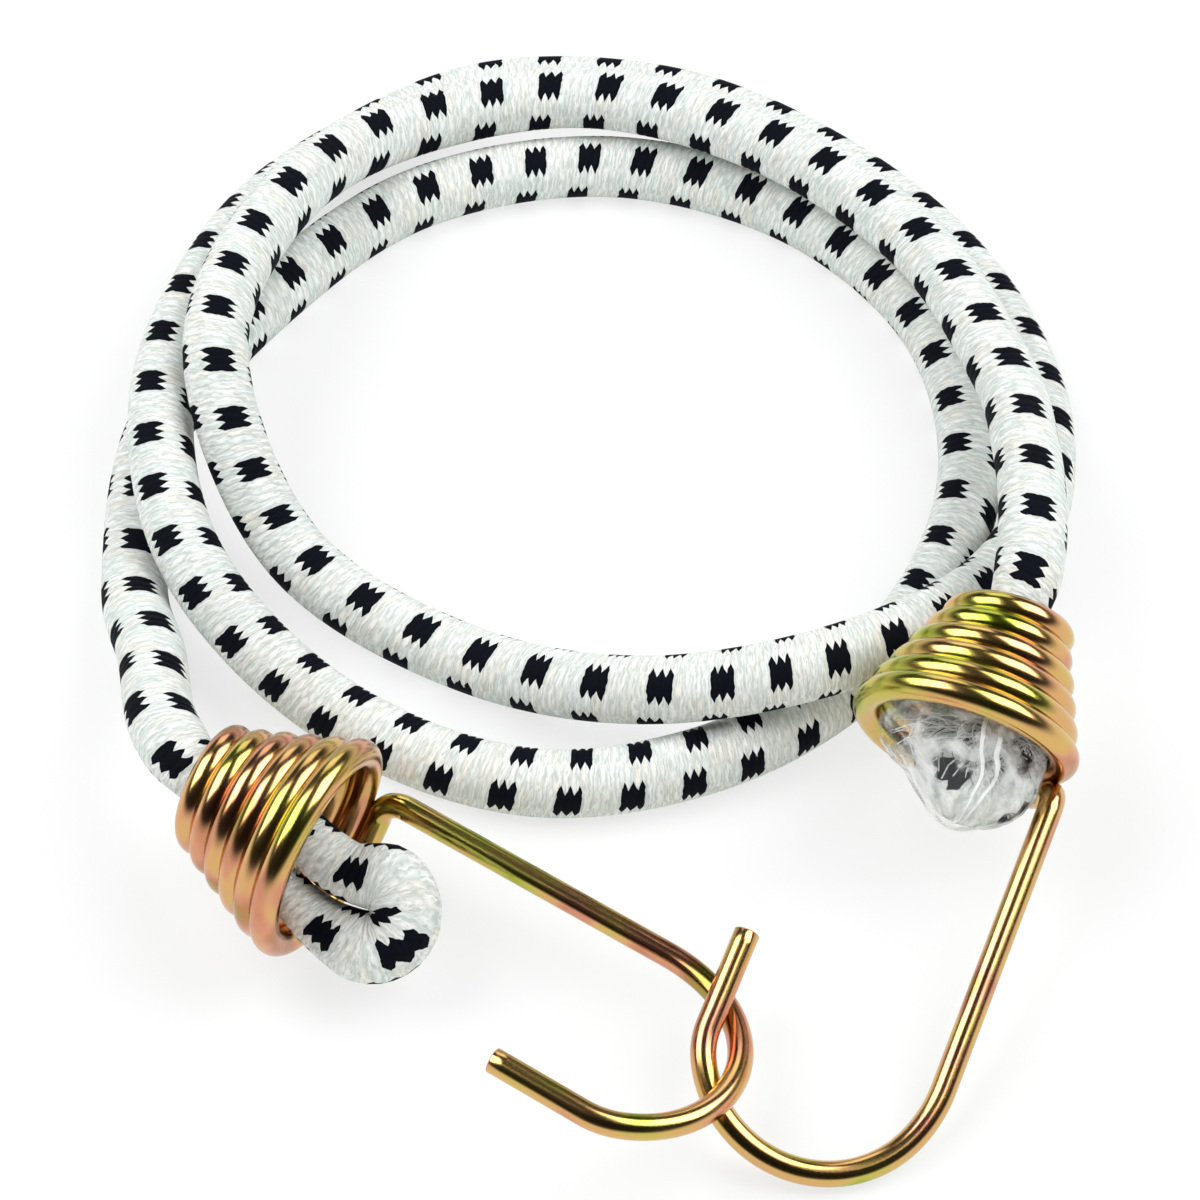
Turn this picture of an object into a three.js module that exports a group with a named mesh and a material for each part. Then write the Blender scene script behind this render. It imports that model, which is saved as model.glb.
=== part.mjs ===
// Bungee cord: a woven, rubber-cored cord about a metre long, lying in three loops, with a
// steel wire hook wound on each folded end. The two hooks are linked through each other.
// Millimetres, +Z up. The origin is on the ground, under the middle of the two hooks.
import * as THREE from 'three';

// Driving sizes of the cord
const CORD_DIAMETER = 8;
const SHEATH_WALL = 0.85;
const THREAD_SPACING = 1.2;
const THREAD_WIDTH = 0.9;
const CORE_ROW_COUNTS = [3, 4, 4, 3];
const CORD_SIDES = 10;
const BORE_SIDES = 8;
const STEPS_PER_SPAN = 2;
const FLAT_DEPTH = CORD_DIAMETER / 10;
const LYING = CORD_DIAMETER / 2 - FLAT_DEPTH;

// Clear tape round each cut end of the cord
const TAPE_CLEARANCE = 0.3;
const TAPE_WALL = 0.3;
const TAPE_STATIONS = 3;

// Driving sizes of the wire hooks
const WIRE_DIAMETER = 2.8;
const WIRE_SIDES = 8;
const TURN_GAP = 0.42;
const OPEN_TURN_GAP = 1.0;
const RING_CLEARANCE = 1.1;
const RING_CORD_RADIUS = 3.4;
const MOUTH_RADIUS = 11.7;
const CONE_TURNS = 5;
const NARROW_TURN_SHARE = 0.5;
const MOUTH_TURN_SHARE = 0.57;
const STEPS_PER_TURN = 12;
const LEG_START = 4.5;
const SHANK_LENGTH = 34.3;
const SHOULDER_RADIUS = 16.5;
const SHOULDER_DEGREES = 25.5;
const SEAT_RADIUS = 13.3;
const SEAT_DEGREES = 126.6;
const LIP_RADIUS = 8.5;
const LIP_DEGREES = 28.4;
const BEND_STEP_DEGREES = 10;
const TIP_LENGTH = 11.3;
const CRANK_STEPS = 3;

// Where the hooks lie: the middle of each cone's mouth, and its turn, dip and roll in degrees
const LEFT_MOUTH = [-34.2, 3.5, 13.2];
const LEFT_TURN_DEGREES = -30.7;
const LEFT_DIP_DEGREES = 5.5;
const LEFT_ROLL_DEGREES = -15.2;
const RIGHT_MOUTH = [38.2, 16.1, 16.9];
const RIGHT_TURN_DEGREES = -112.9;
const RIGHT_DIP_DEGREES = 16.1;
const RIGHT_ROLL_DEGREES = -13.5;

// The cord's two ends inside the hooks, in the hook's own frame: along the cone towards the
// hook, towards the shank, and square to both. The last number is the cord's squeezed radius.
const LEFT_TAIL = [
  [-6, -2.6, -3.9, 2.2], [-2.5, -3, -5, 2.35], [1, -3.5, -6, 2.5], [4.5, -3.9, -6.6, 3],
];
const LEFT_FOLD = { middle: [8.6, -1.6, -3.3], radius: 4.17, leanDegrees: 55.5, cord: 3.8 };
const LEFT_LEAD = [
  [4.5, -0.2, -0.8, 2.95], [1, -0.2, -0.5, 2.5], [-2.5, 0.4, 0.4, 2.35], [-6, 0.8, 0.9, 2.4],
  [-10, 0.3, 0.3, 3], [-13.5, 0.2, 0.25, RING_CORD_RADIUS], [-17, 0.4, 0.55, 3.5],
];
const RIGHT_LEAD = [
  [-17, 0.2, 0, 3.5], [-13.5, 0.1, 0, RING_CORD_RADIUS], [-10, 0, 0, 3], [-6, -0.4, 0, 2.9],
  [-2.5, -1, 0, 3.1], [0.2, -1.4, 0, 3.4],
];
const RIGHT_FOLD = { middle: [2.6, 2.4, 0], radius: 3.8, leanDegrees: 0, cord: 3.5 };
const RIGHT_TAIL = [[1.8, 6.2, 0, 3.4], [0.4, 6.2, 0, 3.3]];
const FOLD_SPANS = 6;

// The cord's route between the hooks, as it lies: three loops, one over the other
const CORD_ROUTE = [
  [-50.9, 15.8, 15.2], [-53.2, 21.5, 13.9], [-55.2, 32.4, 10.2], [-59, 48.5, 3.9],
  [-57.8, 73.7, LYING], [-45, 95.8, LYING], [-26.4, 113.4, LYING], [-1.4, 119, LYING],
  [22.6, 110.3, LYING], [39, 90.7, LYING], [42.6, 65.6, LYING], [33.4, 41.9, LYING],
  [14.4, 24.9, LYING], [-10.4, 19.3, 3.3], [-33.9, 29.2, 3.8], [-51.3, 46.8, 9.5],
  [-56.6, 71.5, 11.8], [-50.5, 96.6, 10.6], [-39.6, 118.7, 3.9], [-18.6, 132.8, 3.3],
  [6.9, 131.9, LYING], [28.6, 118.6, LYING], [44.7, 98.9, LYING], [51.9, 74.3, 3.6],
  [46.6, 49.6, 7], [28.6, 32.2, 12.3], [3.6, 28, 9.6], [-19.4, 37.6, 3.4],
  [-40.3, 52.1, 6], [-49.7, 72.8, 17.7], [-43.8, 97.6, 16.8], [-30.2, 118.4, 10],
  [-5.6, 124.7, 10.3], [18.2, 114.8, 12], [36.9, 96.9, 12.1], [46.1, 73, 14.6],
  [47.5, 55.5, 19.5], [47.1, 43, 22], [46.1, 35.6, 22.2],
];

const radians = THREE.MathUtils.degToRad;

// Materials
const zincWire = new THREE.MeshStandardMaterial({ color: 0xb98a3c, roughness: 0.28, metalness: 1 });
const wovenCover = new THREE.MeshStandardMaterial({ color: 0xeceeea, roughness: 0.75, metalness: 0 });
const rubberThread = new THREE.MeshStandardMaterial({ color: 0xc9b48a, roughness: 0.8, metalness: 0 });
const clearTape = new THREE.MeshStandardMaterial({ color: 0xdfe6e4, roughness: 0.15, metalness: 0 });

// Frames along a line of points that turn as little as they can, from one point to the next
function carriedFrames(points) {
  const directions = points.map((point, i) => {
    const before = points[Math.max(i - 1, 0)];
    const after = points[Math.min(i + 1, points.length - 1)];
    return after.clone().sub(before).normalize();
  });
  const start = Math.abs(directions[0].z) < 0.9 ? new THREE.Vector3(0, 0, 1) : new THREE.Vector3(1, 0, 0);
  let side = start.cross(directions[0]).normalize();
  return directions.map((direction, i) => {
    if (i > 0) {
      side = side.clone().applyQuaternion(
        new THREE.Quaternion().setFromUnitVectors(directions[i - 1], direction));
    }
    side = side.clone().addScaledVector(direction, -side.dot(direction)).normalize();
    return { side, upright: direction.clone().cross(side) };
  });
}

// A ring of points round each station of a line; ground is the height that it is cut flat at
function ringsAlong(points, frames, radii, sides, { phase = 0, offsets = null, ground = -Infinity } = {}) {
  return points.map((point, i) => {
    const { side, upright } = frames[i];
    return Array.from({ length: sides }, (_, k) => {
      const angle = phase + (2 * Math.PI * k) / sides;
      const across = radii[i] * Math.cos(angle) + (offsets ? offsets[i][0] : 0);
      const along = radii[i] * Math.sin(angle) + (offsets ? offsets[i][1] : 0);
      const place = point.clone().addScaledVector(side, across).addScaledVector(upright, along);
      place.z = Math.max(place.z, ground);
      return place;
    });
  });
}

// One closed body from outer rings, with a bore where inner rings are given
function bodyFromRings(outer, inner = null) {
  const rows = outer.length;
  const sides = outer[0].length;
  const vertices = [...outer.flat()];
  const faces = [];
  for (let i = 0; i < rows - 1; i += 1) {
    for (let k = 0; k < sides; k += 1) {
      const a = i * sides + k;
      const b = i * sides + ((k + 1) % sides);
      faces.push([a, b, b + sides], [a, b + sides, a + sides]);
    }
  }
  if (!inner) {
    for (let k = 1; k < sides - 1; k += 1) {
      const last = (rows - 1) * sides;
      faces.push([0, k + 1, k], [last, last + k, last + k + 1]);
    }
    return closedGeometry(vertices, faces);
  }
  const boreSides = inner[0].length;
  const boreStart = vertices.length;
  vertices.push(...inner.flat());
  for (let i = 0; i < rows - 1; i += 1) {
    for (let k = 0; k < boreSides; k += 1) {
      const a = boreStart + i * boreSides + k;
      const b = boreStart + i * boreSides + ((k + 1) % boreSides);
      faces.push([a, b + boreSides, b], [a, a + boreSides, b + boreSides]);
    }
  }
  for (const [row, flip] of [[0, false], [rows - 1, true]]) {
    faces.push(...ringFaces(row * sides, sides, boreStart + row * boreSides, boreSides, flip));
  }
  return closedGeometry(vertices, faces);
}

// The faces between an outer and an inner ring of an end, walked round side by side
function ringFaces(outerStart, sides, innerStart, boreSides, flip) {
  const faces = [];
  let outerAt = 0;
  let innerAt = 0;
  while (outerAt < sides || innerAt < boreSides) {
    const a = outerStart + (outerAt % sides);
    const b = innerStart + (innerAt % boreSides);
    const takeOuter = innerAt >= boreSides
      || (outerAt < sides && (outerAt + 1) / sides <= (innerAt + 1) / boreSides);
    const next = takeOuter ? outerStart + ((outerAt + 1) % sides) : innerStart + ((innerAt + 1) % boreSides);
    faces.push(flip ? [a, next, b] : [a, b, next]);
    if (takeOuter) outerAt += 1;
    else innerAt += 1;
  }
  return faces;
}

function closedGeometry(vertices, faces) {
  const geometry = new THREE.BufferGeometry();
  geometry.setAttribute('position',
    new THREE.Float32BufferAttribute(vertices.flatMap((v) => [v.x, v.y, v.z]), 3));
  geometry.setIndex(faces.flat());
  geometry.computeVertexNormals();
  return geometry;
}

// The least gap between stretches of one or two tubes, with stretches closer than apart left out
function leastGap(line, radii, other = null, otherRadii = null, apart = 0) {
  const second = other ?? line;
  const secondRadii = otherRadii ?? radii;
  const run = [0];
  for (let i = 1; i < line.length; i += 1) run.push(run[i - 1] + line[i].distanceTo(line[i - 1]));
  let least = Infinity;
  for (let i = 0; i < line.length; i += 1) {
    for (let k = other ? 0 : i + 1; k < second.length; k += 1) {
      if (other || run[k] - run[i] > apart) {
        least = Math.min(least, line[i].distanceTo(second[k]) - radii[i] - secondRadii[k]);
      }
    }
  }
  return least;
}

// The wire hook's centre line: a part turn at the narrow end, the cone, a part turn at the
// mouth, a crank into the shank, three bends that make the hook, and the straight tip
const wireRadius = WIRE_DIAMETER / 2;
const narrowRadius = RING_CORD_RADIUS + RING_CLEARANCE + wireRadius;
const growthPerTurn = (MOUTH_RADIUS - narrowRadius) / CONE_TURNS;
const conePitch = Math.sqrt((WIRE_DIAMETER + TURN_GAP) ** 2 - growthPerTurn ** 2);
const openPitch = Math.sqrt((WIRE_DIAMETER + OPEN_TURN_GAP) ** 2 - growthPerTurn ** 2);

function windingPoints(stepsPerTurn) {
  const windingEnd = MOUTH_TURN_SHARE * openPitch;
  const crankRadius = LEG_START - windingEnd;
  const lastAngle = 2 * Math.PI - Math.asin(crankRadius / MOUTH_RADIUS);
  const turns = NARROW_TURN_SHARE + CONE_TURNS + MOUTH_TURN_SHARE;
  const steps = Math.round(turns * stepsPerTurn);
  const points = [];
  for (let i = 0; i <= steps; i += 1) {
    const turn = (turns * i) / steps;
    const coneTurn = THREE.MathUtils.clamp(turn - NARROW_TURN_SHARE, 0, CONE_TURNS);
    const before = Math.max(NARROW_TURN_SHARE - turn, 0);
    const beyond = Math.max(turn - NARROW_TURN_SHARE - CONE_TURNS, 0);
    const along = (coneTurn - CONE_TURNS) * conePitch + (beyond - before) * openPitch;
    const radius = narrowRadius + coneTurn * growthPerTurn;
    const angle = lastAngle - 2 * Math.PI * (turns - turn);
    points.push(new THREE.Vector3(along, radius * Math.cos(angle), radius * Math.sin(angle)));
  }
  const first = points[0];
  const outward = first.clone().sub(points[1]).normalize();
  points.unshift(first.clone().addScaledVector(outward, WIRE_DIAMETER));
  const last = points[points.length - 1];
  for (let i = 1; i <= CRANK_STEPS; i += 1) {
    const share = i / CRANK_STEPS;
    const angle = (share * Math.PI) / 2;
    points.push(new THREE.Vector3(
      last.x + crankRadius * (1 - Math.cos(angle)),
      THREE.MathUtils.lerp(last.y, MOUTH_RADIUS, Math.sin(angle)),
      last.z + crankRadius * Math.sin(angle)));
  }
  return points;
}

function hookPoints(bendStep) {
  const place = new THREE.Vector2(LEG_START, MOUTH_RADIUS);
  const points = [];
  let heading = 0;
  const advance = (length, towards) => {
    place.add(new THREE.Vector2(length * Math.cos(towards), length * Math.sin(towards)));
    points.push(new THREE.Vector3(place.x, place.y, 0));
  };
  advance(SHANK_LENGTH, heading);
  const bend = (radius, degrees) => {
    const steps = Math.max(2, Math.round(degrees / bendStep));
    const turn = radians(degrees) / steps;
    for (let k = 0; k < steps; k += 1) {
      advance(2 * radius * Math.sin(turn / 2), heading - turn / 2);
      heading -= turn;
    }
  };
  bend(SHOULDER_RADIUS, SHOULDER_DEGREES);
  bend(SEAT_RADIUS, SEAT_DEGREES);
  bend(LIP_RADIUS, LIP_DEGREES);
  advance(TIP_LENGTH, heading);
  return points;
}

function wireHook(name, mouth, turn, dip, roll) {
  const line = [...windingPoints(STEPS_PER_TURN), ...hookPoints(BEND_STEP_DEGREES)];
  const radii = line.map(() => wireRadius);
  const rings = ringsAlong(line, carriedFrames(line), radii, WIRE_SIDES, { phase: Math.PI / WIRE_SIDES });
  const hook = new THREE.Mesh(bodyFromRings(rings), zincWire);
  hook.name = name;
  hook.position.set(...mouth);
  hook.rotation.set(radians(roll), radians(dip), radians(turn), 'ZYX');
  hook.updateMatrixWorld();
  const winding = windingPoints(4 * STEPS_PER_TURN);
  const own = leastGap(winding, winding.map(() => wireRadius), null, null, 3 * WIRE_DIAMETER);
  console.log(`${name}: least gap between turns ${own.toFixed(2)} mm`);
  return hook;
}

const leftHook = wireHook(
  'left_wire_hook', LEFT_MOUTH, LEFT_TURN_DEGREES, LEFT_DIP_DEGREES, LEFT_ROLL_DEGREES);
const rightHook = wireHook(
  'right_wire_hook', RIGHT_MOUTH, RIGHT_TURN_DEGREES, RIGHT_DIP_DEGREES, RIGHT_ROLL_DEGREES);

// The cord's stations from cut end to cut end: a place and a radius each
function inHook(hook, rows) {
  return rows.map(([x, y, z, radius]) => (
    { place: new THREE.Vector3(x, y, z).applyMatrix4(hook.matrixWorld), radius }));
}

function foldRows({ middle, radius, leanDegrees, cord }) {
  return Array.from({ length: FOLD_SPANS + 1 }, (_, k) => {
    const angle = (Math.PI * k) / FOLD_SPANS;
    const across = -radius * Math.cos(angle);
    return [
      middle[0] + radius * Math.sin(angle),
      middle[1] + across * Math.cos(radians(leanDegrees)),
      middle[2] + across * Math.sin(radians(leanDegrees)),
      cord,
    ];
  });
}

const controls = [
  ...inHook(leftHook, [...LEFT_TAIL, ...foldRows(LEFT_FOLD), ...LEFT_LEAD]),
  ...CORD_ROUTE.map((place) => ({ place: new THREE.Vector3(...place), radius: CORD_DIAMETER / 2 })),
  ...inHook(rightHook, [...RIGHT_LEAD, ...foldRows(RIGHT_FOLD), ...RIGHT_TAIL]),
];
const cordCurve = new THREE.CatmullRomCurve3(controls.map(({ place }) => place), false, 'catmullrom', 0.5);

// Long spans take more steps than the short ones in the folds
function cordStations(refinement = 1) {
  const spans = controls.length - 1;
  const found = [];
  for (let from = 0; from < spans; from += 1) {
    const [start, end] = [controls[from], controls[from + 1]];
    const isLong = start.place.distanceTo(end.place) > CORD_DIAMETER;
    const steps = refinement * (isLong ? STEPS_PER_SPAN : 1);
    for (let k = 0; k < steps; k += 1) {
      found.push({
        place: cordCurve.getPoint((from + k / steps) / spans),
        radius: THREE.MathUtils.lerp(start.radius, end.radius, k / steps),
      });
    }
  }
  return [...found, { place: cordCurve.getPoint(1), radius: controls[spans].radius }];
}

const stations = cordStations();
const line = stations.map(({ place }) => place);
const outerRadii = stations.map(({ radius }) => radius);
const frames = carriedFrames(line);
const squeezes = outerRadii.map((radius) => radius / (CORD_DIAMETER / 2));
const boreRadii = squeezes.map((squeeze) => squeeze * (CORD_DIAMETER / 2 - SHEATH_WALL));

const cord = new THREE.Group();

// The woven cover, one unbroken tube from cut end to cut end, flat where it lies on the ground
const cover = new THREE.Mesh(
  bodyFromRings(
    ringsAlong(line, frames, outerRadii, CORD_SIDES, { ground: 0 }),
    ringsAlong(line, frames, boreRadii, BORE_SIDES)),
  wovenCover);
cover.name = 'woven_cover';
cord.add(cover);

// The rubber threads of the core, square in section, side by side in rows
const threadPlaces = CORE_ROW_COUNTS.flatMap((inRow, row) => (
  Array.from({ length: inRow }, (_, k) => [
    (k - (inRow - 1) / 2) * THREAD_SPACING, (row - (CORE_ROW_COUNTS.length - 1) / 2) * THREAD_SPACING])));
threadPlaces.forEach(([across, along], i) => {
  const thread = new THREE.Mesh(
    bodyFromRings(ringsAlong(line, frames, squeezes.map((squeeze) => squeeze * THREAD_WIDTH / Math.SQRT2), 4, {
      phase: Math.PI / 4,
      offsets: squeezes.map((squeeze) => [squeeze * across, squeeze * along]),
    })),
    rubberThread);
  thread.name = `rubber_thread_${i + 1}`;
  cord.add(thread);
});

// Clear tape wound round the cover at each cut end
function endTape(name, from, to) {
  const reach = [from, to];
  const inner = outerRadii.slice(...reach).map((radius) => radius + TAPE_CLEARANCE);
  const outer = inner.map((radius) => radius + TAPE_WALL);
  const tape = new THREE.Mesh(
    bodyFromRings(
      ringsAlong(line.slice(...reach), frames.slice(...reach), outer, CORD_SIDES),
      ringsAlong(line.slice(...reach), frames.slice(...reach), inner, CORD_SIDES)),
    clearTape);
  tape.name = name;
  return tape;
}
cord.add(endTape('left_end_tape', 0, TAPE_STATIONS));
cord.add(endTape('right_end_tape', stations.length - TAPE_STATIONS, stations.length));

// The gaps that the lie of the cord keeps, on points
const finer = cordStations(8);
const cordGap = leastGap(
  finer.map(({ place }) => place), finer.map(({ radius }) => radius), null, null, 2 * CORD_DIAMETER);
const cordLength = finer.reduce((sum, { place }, i) => (
  i === 0 ? 0 : sum + place.distanceTo(finer[i - 1].place)), 0);
console.log(`woven_cover: least gap to itself ${cordGap.toFixed(2)} mm, length ${cordLength.toFixed(0)} mm`);

const bungee = new THREE.Group();
bungee.add(cord, leftHook, rightHook);

export default bungee;
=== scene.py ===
"""Bungee cord: a woven, rubber-cored cord lying in three loops, with a wire hook on each end."""

import bpy
import numpy as np
from bpy.props import FloatProperty, FloatVectorProperty, IntProperty, PointerProperty
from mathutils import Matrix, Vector


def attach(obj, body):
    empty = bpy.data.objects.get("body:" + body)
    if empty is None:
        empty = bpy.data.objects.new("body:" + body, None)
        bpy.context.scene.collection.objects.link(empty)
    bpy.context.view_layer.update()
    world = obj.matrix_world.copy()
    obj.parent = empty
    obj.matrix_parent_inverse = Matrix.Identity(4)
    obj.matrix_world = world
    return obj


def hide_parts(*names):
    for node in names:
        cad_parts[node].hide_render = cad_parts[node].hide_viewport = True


bl_info = {
    "name": "Bungee Cord",
    "version": (1, 0, 0),
    "blender": (4, 5, 0),
    "location": "View3D > Sidebar > Bungee Cord",
    "description": "Adds a woven bungee cord with a conical wire hook on each end",
    "category": "Add Mesh",
}

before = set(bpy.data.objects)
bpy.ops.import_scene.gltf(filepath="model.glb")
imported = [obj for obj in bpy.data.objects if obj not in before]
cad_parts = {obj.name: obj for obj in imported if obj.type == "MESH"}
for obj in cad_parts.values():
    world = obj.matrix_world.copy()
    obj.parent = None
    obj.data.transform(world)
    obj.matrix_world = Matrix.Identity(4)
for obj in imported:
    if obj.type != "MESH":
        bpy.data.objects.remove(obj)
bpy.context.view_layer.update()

MM = 0.001

# The wire hook, in millimetres: its line is the same as the frame's, but for closer turns
WIRE_PITCH_DIAMETER = 2.8
TURN_GAP = 0.16
OPEN_TURN_GAP = 0.3
RING_CLEARANCE = 1.1
RING_CORD_RADIUS = 3.4
MOUTH_RADIUS = 11.7
CONE_TURNS = 5
NARROW_PART_TURN = 0.5
MOUTH_PART_TURN = 0.57
LEG_START = 4.5
SHANK_LENGTH = 34.3
BENDS = ((16.5, 25.5), (13.3, 126.6), (8.5, 28.4))
TIP_LENGTH = 11.3
# The turn from which the wire's rings level out, and the one by which its pressing has faded
LEVEL_FROM_TURN = 5.6
PRESSED_TO_TURN = 5.9
PRESSED_FADE = 0.3
# What a cut end's edge is drawn in by, and how long one bloom of the plating is
END_EASE = 0.12
BLOOM_LENGTH = 8

# Where each hook lies: the middle of its cone's mouth, its turn, dip and roll in degrees
LEFT_HOOK = ((-34.2, 3.5, 13.2), -30.7, 5.5, -15.2)
RIGHT_HOOK = ((38.2, 16.1, 16.9), -112.9, 16.1, -13.5)

# The cord's ends in the hooks' own frames and its route between them: x, y, z and radius
LEFT_TAIL = (
    (-6, -2.6, -3.9, 2.2), (-2.5, -3, -5, 2.35), (1, -3.5, -6, 2.75), (4.5, -3.9, -6.6, 3.2),
)
LEFT_FOLD = ((8.5, -1.6, -3.3), 4.06, 55.5, 4.02)
LEFT_LEAD = (
    (4.5, -0.2, -0.8, 3.3), (1, -0.2, -0.5, 3.2), (-2.5, 0.4, 0.4, 2.8), (-6, 0.8, 0.9, 2.4),
    (-10, 0.3, 0.3, 3), (-13.5, 0.2, 0.25, 3.4), (-17, 0.4, 0.55, 3.5),
)
RIGHT_LEAD = (
    (-17, 0.2, 0, 3.5), (-13.5, 0.1, 0, 3.4), (-10, 0, 0, 3), (-6, -0.4, 0, 2.9),
    (-2.5, -1, 0, 3.1), (0.2, -1.4, 0, 3.4),
)
RIGHT_FOLD = ((2.6, 2.4, 0), 3.8, 0, 3.5)
RIGHT_TAIL = ((1.8, 6.2, 0, 3.4), (0.4, 6.2, 0, 3.3))
FOLD_SPANS = 6
CORD_ROUTE = (
    (-50.9, 15.8, 15.2), (-53.2, 21.5, 13.9), (-55.2, 32.4, 10.2), (-59, 48.5, 3.9),
    (-57.8, 73.7, 3.2), (-45, 95.8, 3.2), (-26.4, 113.4, 3.2), (-1.4, 119, 3.2),
    (22.6, 110.3, 3.2), (39, 90.7, 3.2), (42.6, 65.6, 3.2), (33.4, 41.9, 3.2),
    (14.4, 24.9, 3.2), (-10.4, 19.3, 3.3), (-33.9, 29.2, 3.8), (-51.3, 46.8, 9.5),
    (-56.6, 71.5, 11.8), (-50.5, 96.6, 10.6), (-39.6, 118.7, 3.9), (-18.6, 132.8, 3.3),
    (6.9, 131.9, 3.2), (28.6, 118.6, 3.2), (44.7, 98.9, 3.2), (51.9, 74.3, 3.6),
    (46.6, 49.6, 7), (28.6, 32.2, 12.3), (3.6, 28, 9.6), (-19.4, 37.6, 3.4),
    (-40.3, 52.1, 6), (-49.7, 72.8, 17.7), (-43.8, 97.6, 16.8), (-30.2, 118.4, 10),
    (-5.6, 124.7, 10.3), (18.2, 114.8, 12), (36.9, 96.9, 12.1), (46.1, 73, 14.6),
    (47.5, 55.5, 19.5), (47.1, 43, 22), (46.1, 35.6, 22.2),
)

# The weave every 20 mm along the cord: how many checks have gone by in a row, and the angle
# that the first row of checks has turned to, in degrees from level
KNOT_SPACING = 20
CHECKS_GONE_BY = (
    -6.33, -4.06, -1.69, 0.84, 3.21, 5.28, 7.65, 10.06, 12.64, 15.15, 17.85, 20.46, 23.07, 25.57,
    28.09, 30.68, 33.29, 36.17, 39.05, 41.71, 44.53, 47.3, 49.86, 52.22, 54.22, 56.4, 58.95,
    61.49, 63.94, 66.33, 68.82, 71.39, 73.74, 76.45, 79.56, 82.31, 84.66, 87.13, 90.07, 92.95,
    95.08, 97.08, 99.55, 102.01, 104.52, 106.83, 109.06, 110.92, 113.26, 115.59, 117.85,
)
ROW_ANGLES = (
    118, 138, 150, 135, 110, 99, 98, 109, 115, 116, 117, 120, 131, 129, 118, 109, 106, 106, 113,
    118, 136, 158, 163, 138, 118, 142, 150, 149, 147, 153, 148, 147, 155, 146, 145, 158, 166, 177,
    186, 189, 194, 193, 199, 195, 191, 186, 175, 173, 177, 188, 203,
)
YARNS_PER_CHECK = 7
# How far one column's yarns lie on from the last column's, and how they slant, in yarns
COLUMN_STEP = 0.875
YARN_SLANT = 0.375

# The cord, the step between its rings, how high its bore stays over the ground, the tape on its
# left end, and the core's threads, whose corners reach THREAD_CORNER widths at most
CORD_RADIUS = 4.0
CORD_LENGTH_RANGE = (990, 1010)
CORD_STEP = 0.8
BORE_HEIGHT = 0.1
TAPE_WIDTH = 5
THREAD_SPACING = 1.2
THREAD_WIDTH = 0.9
THREAD_CORNER = 0.64
CORE_ROW_COUNTS = (3, 4, 4, 3)

# The crumpled film on the right fold, in the hook's own frame: along, lowest and highest
# across, and half its depth
FILM_SECTIONS = (
    (-3.5, -5.5, 8.5, 6.0), (-1.5, -8.5, 9.2, 7.6), (1.0, -10.2, 9.6, 8.6), (3.0, -10.0, 10.1, 8.2),
    (4.4, -8.9, 10.4, 7.2), (5.9, -6.0, 9.0, 5.8), (8.0, -3.4, 6.8, 4.5), (9.7, -1.0, 4.9, 3.2),
    (10.5, 0.6, 3.6, 1.4),
)
# Ridges round the film: the angle and height of each; then the flat face's middle and half width
FILM_RIDGES = ((1.22, 0.09), (1.42, 0.07), (2.2, 0.05), (2.75, 0.05))
FILM_RIDGE_WIDTH = 0.045
FILM_FACE = (0.78, 0.34)
FILM_THICKNESS = 0.05
# The length of the cord's right end that the film and the loose yarn keep clear of, by a gap each
FOLD_LENGTH = 45
FILM_GAP = 0.2
YARN_GAP = 0.12

# The camera: the point it looks at, how far off and how steeply in degrees, and its lens
CAMERA_FOCUS = (-3.0, 48.8, 0.0)
CAMERA_DISTANCE = 464.954
CAMERA_ELEVATION = 51.786
CAMERA_LENS = 115.08


def linear(hex_colour, alpha=1.0):
    """An sRGB hex colour as linear RGBA.

    A channel c becomes c / 12.92 up to 0.04045, and ((c + 0.055) / 1.055)^2.4 above it.
    """
    value = np.array([int(hex_colour[i:i + 2], 16) / 255 for i in (0, 2, 4)])
    low = value / 12.92
    high = ((value + 0.055) / 1.055) ** 2.4
    return (*np.where(value <= 0.04045, low, high).tolist(), alpha)


# Geometry helpers, all on whole arrays, in millimetres until the mesh is made

def hook_pose(mouth, turn, dip, roll):
    """A hook's matrix, turn about Z after dip about Y after roll about X, and its place."""
    (ct, cd, cr), (st, sd, sr) = (f(np.radians((turn, dip, roll))) for f in (np.cos, np.sin))
    about_z = np.array(((ct, -st, 0), (st, ct, 0), (0, 0, 1)))
    about_y = np.array(((cd, 0, sd), (0, 1, 0), (-sd, 0, cd)))
    about_x = np.array(((1, 0, 0), (0, cr, -sr), (0, sr, cr)))
    return about_z @ about_y @ about_x, np.array(mouth)


def placed(points, pose):
    """Points of a hook's own frame in the row's frame: turning matrix times point, plus place."""
    turning, place = pose
    return np.asarray(points, float) @ turning.T + place


def fold_rows(middle, radius, lean, squeezed):
    """A half circle, middle + radius (sin a, -cos a cos lean, -cos a sin lean), a from 0 to pi."""
    a = np.pi * np.arange(FOLD_SPANS + 1) / FOLD_SPANS
    across = -radius * np.cos(a)
    tilt = np.radians(lean)
    return np.stack((
        middle[0] + radius * np.sin(a), middle[1] + across * np.cos(tilt),
        middle[2] + across * np.sin(tilt), np.full_like(a, squeezed)), 1)


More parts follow.
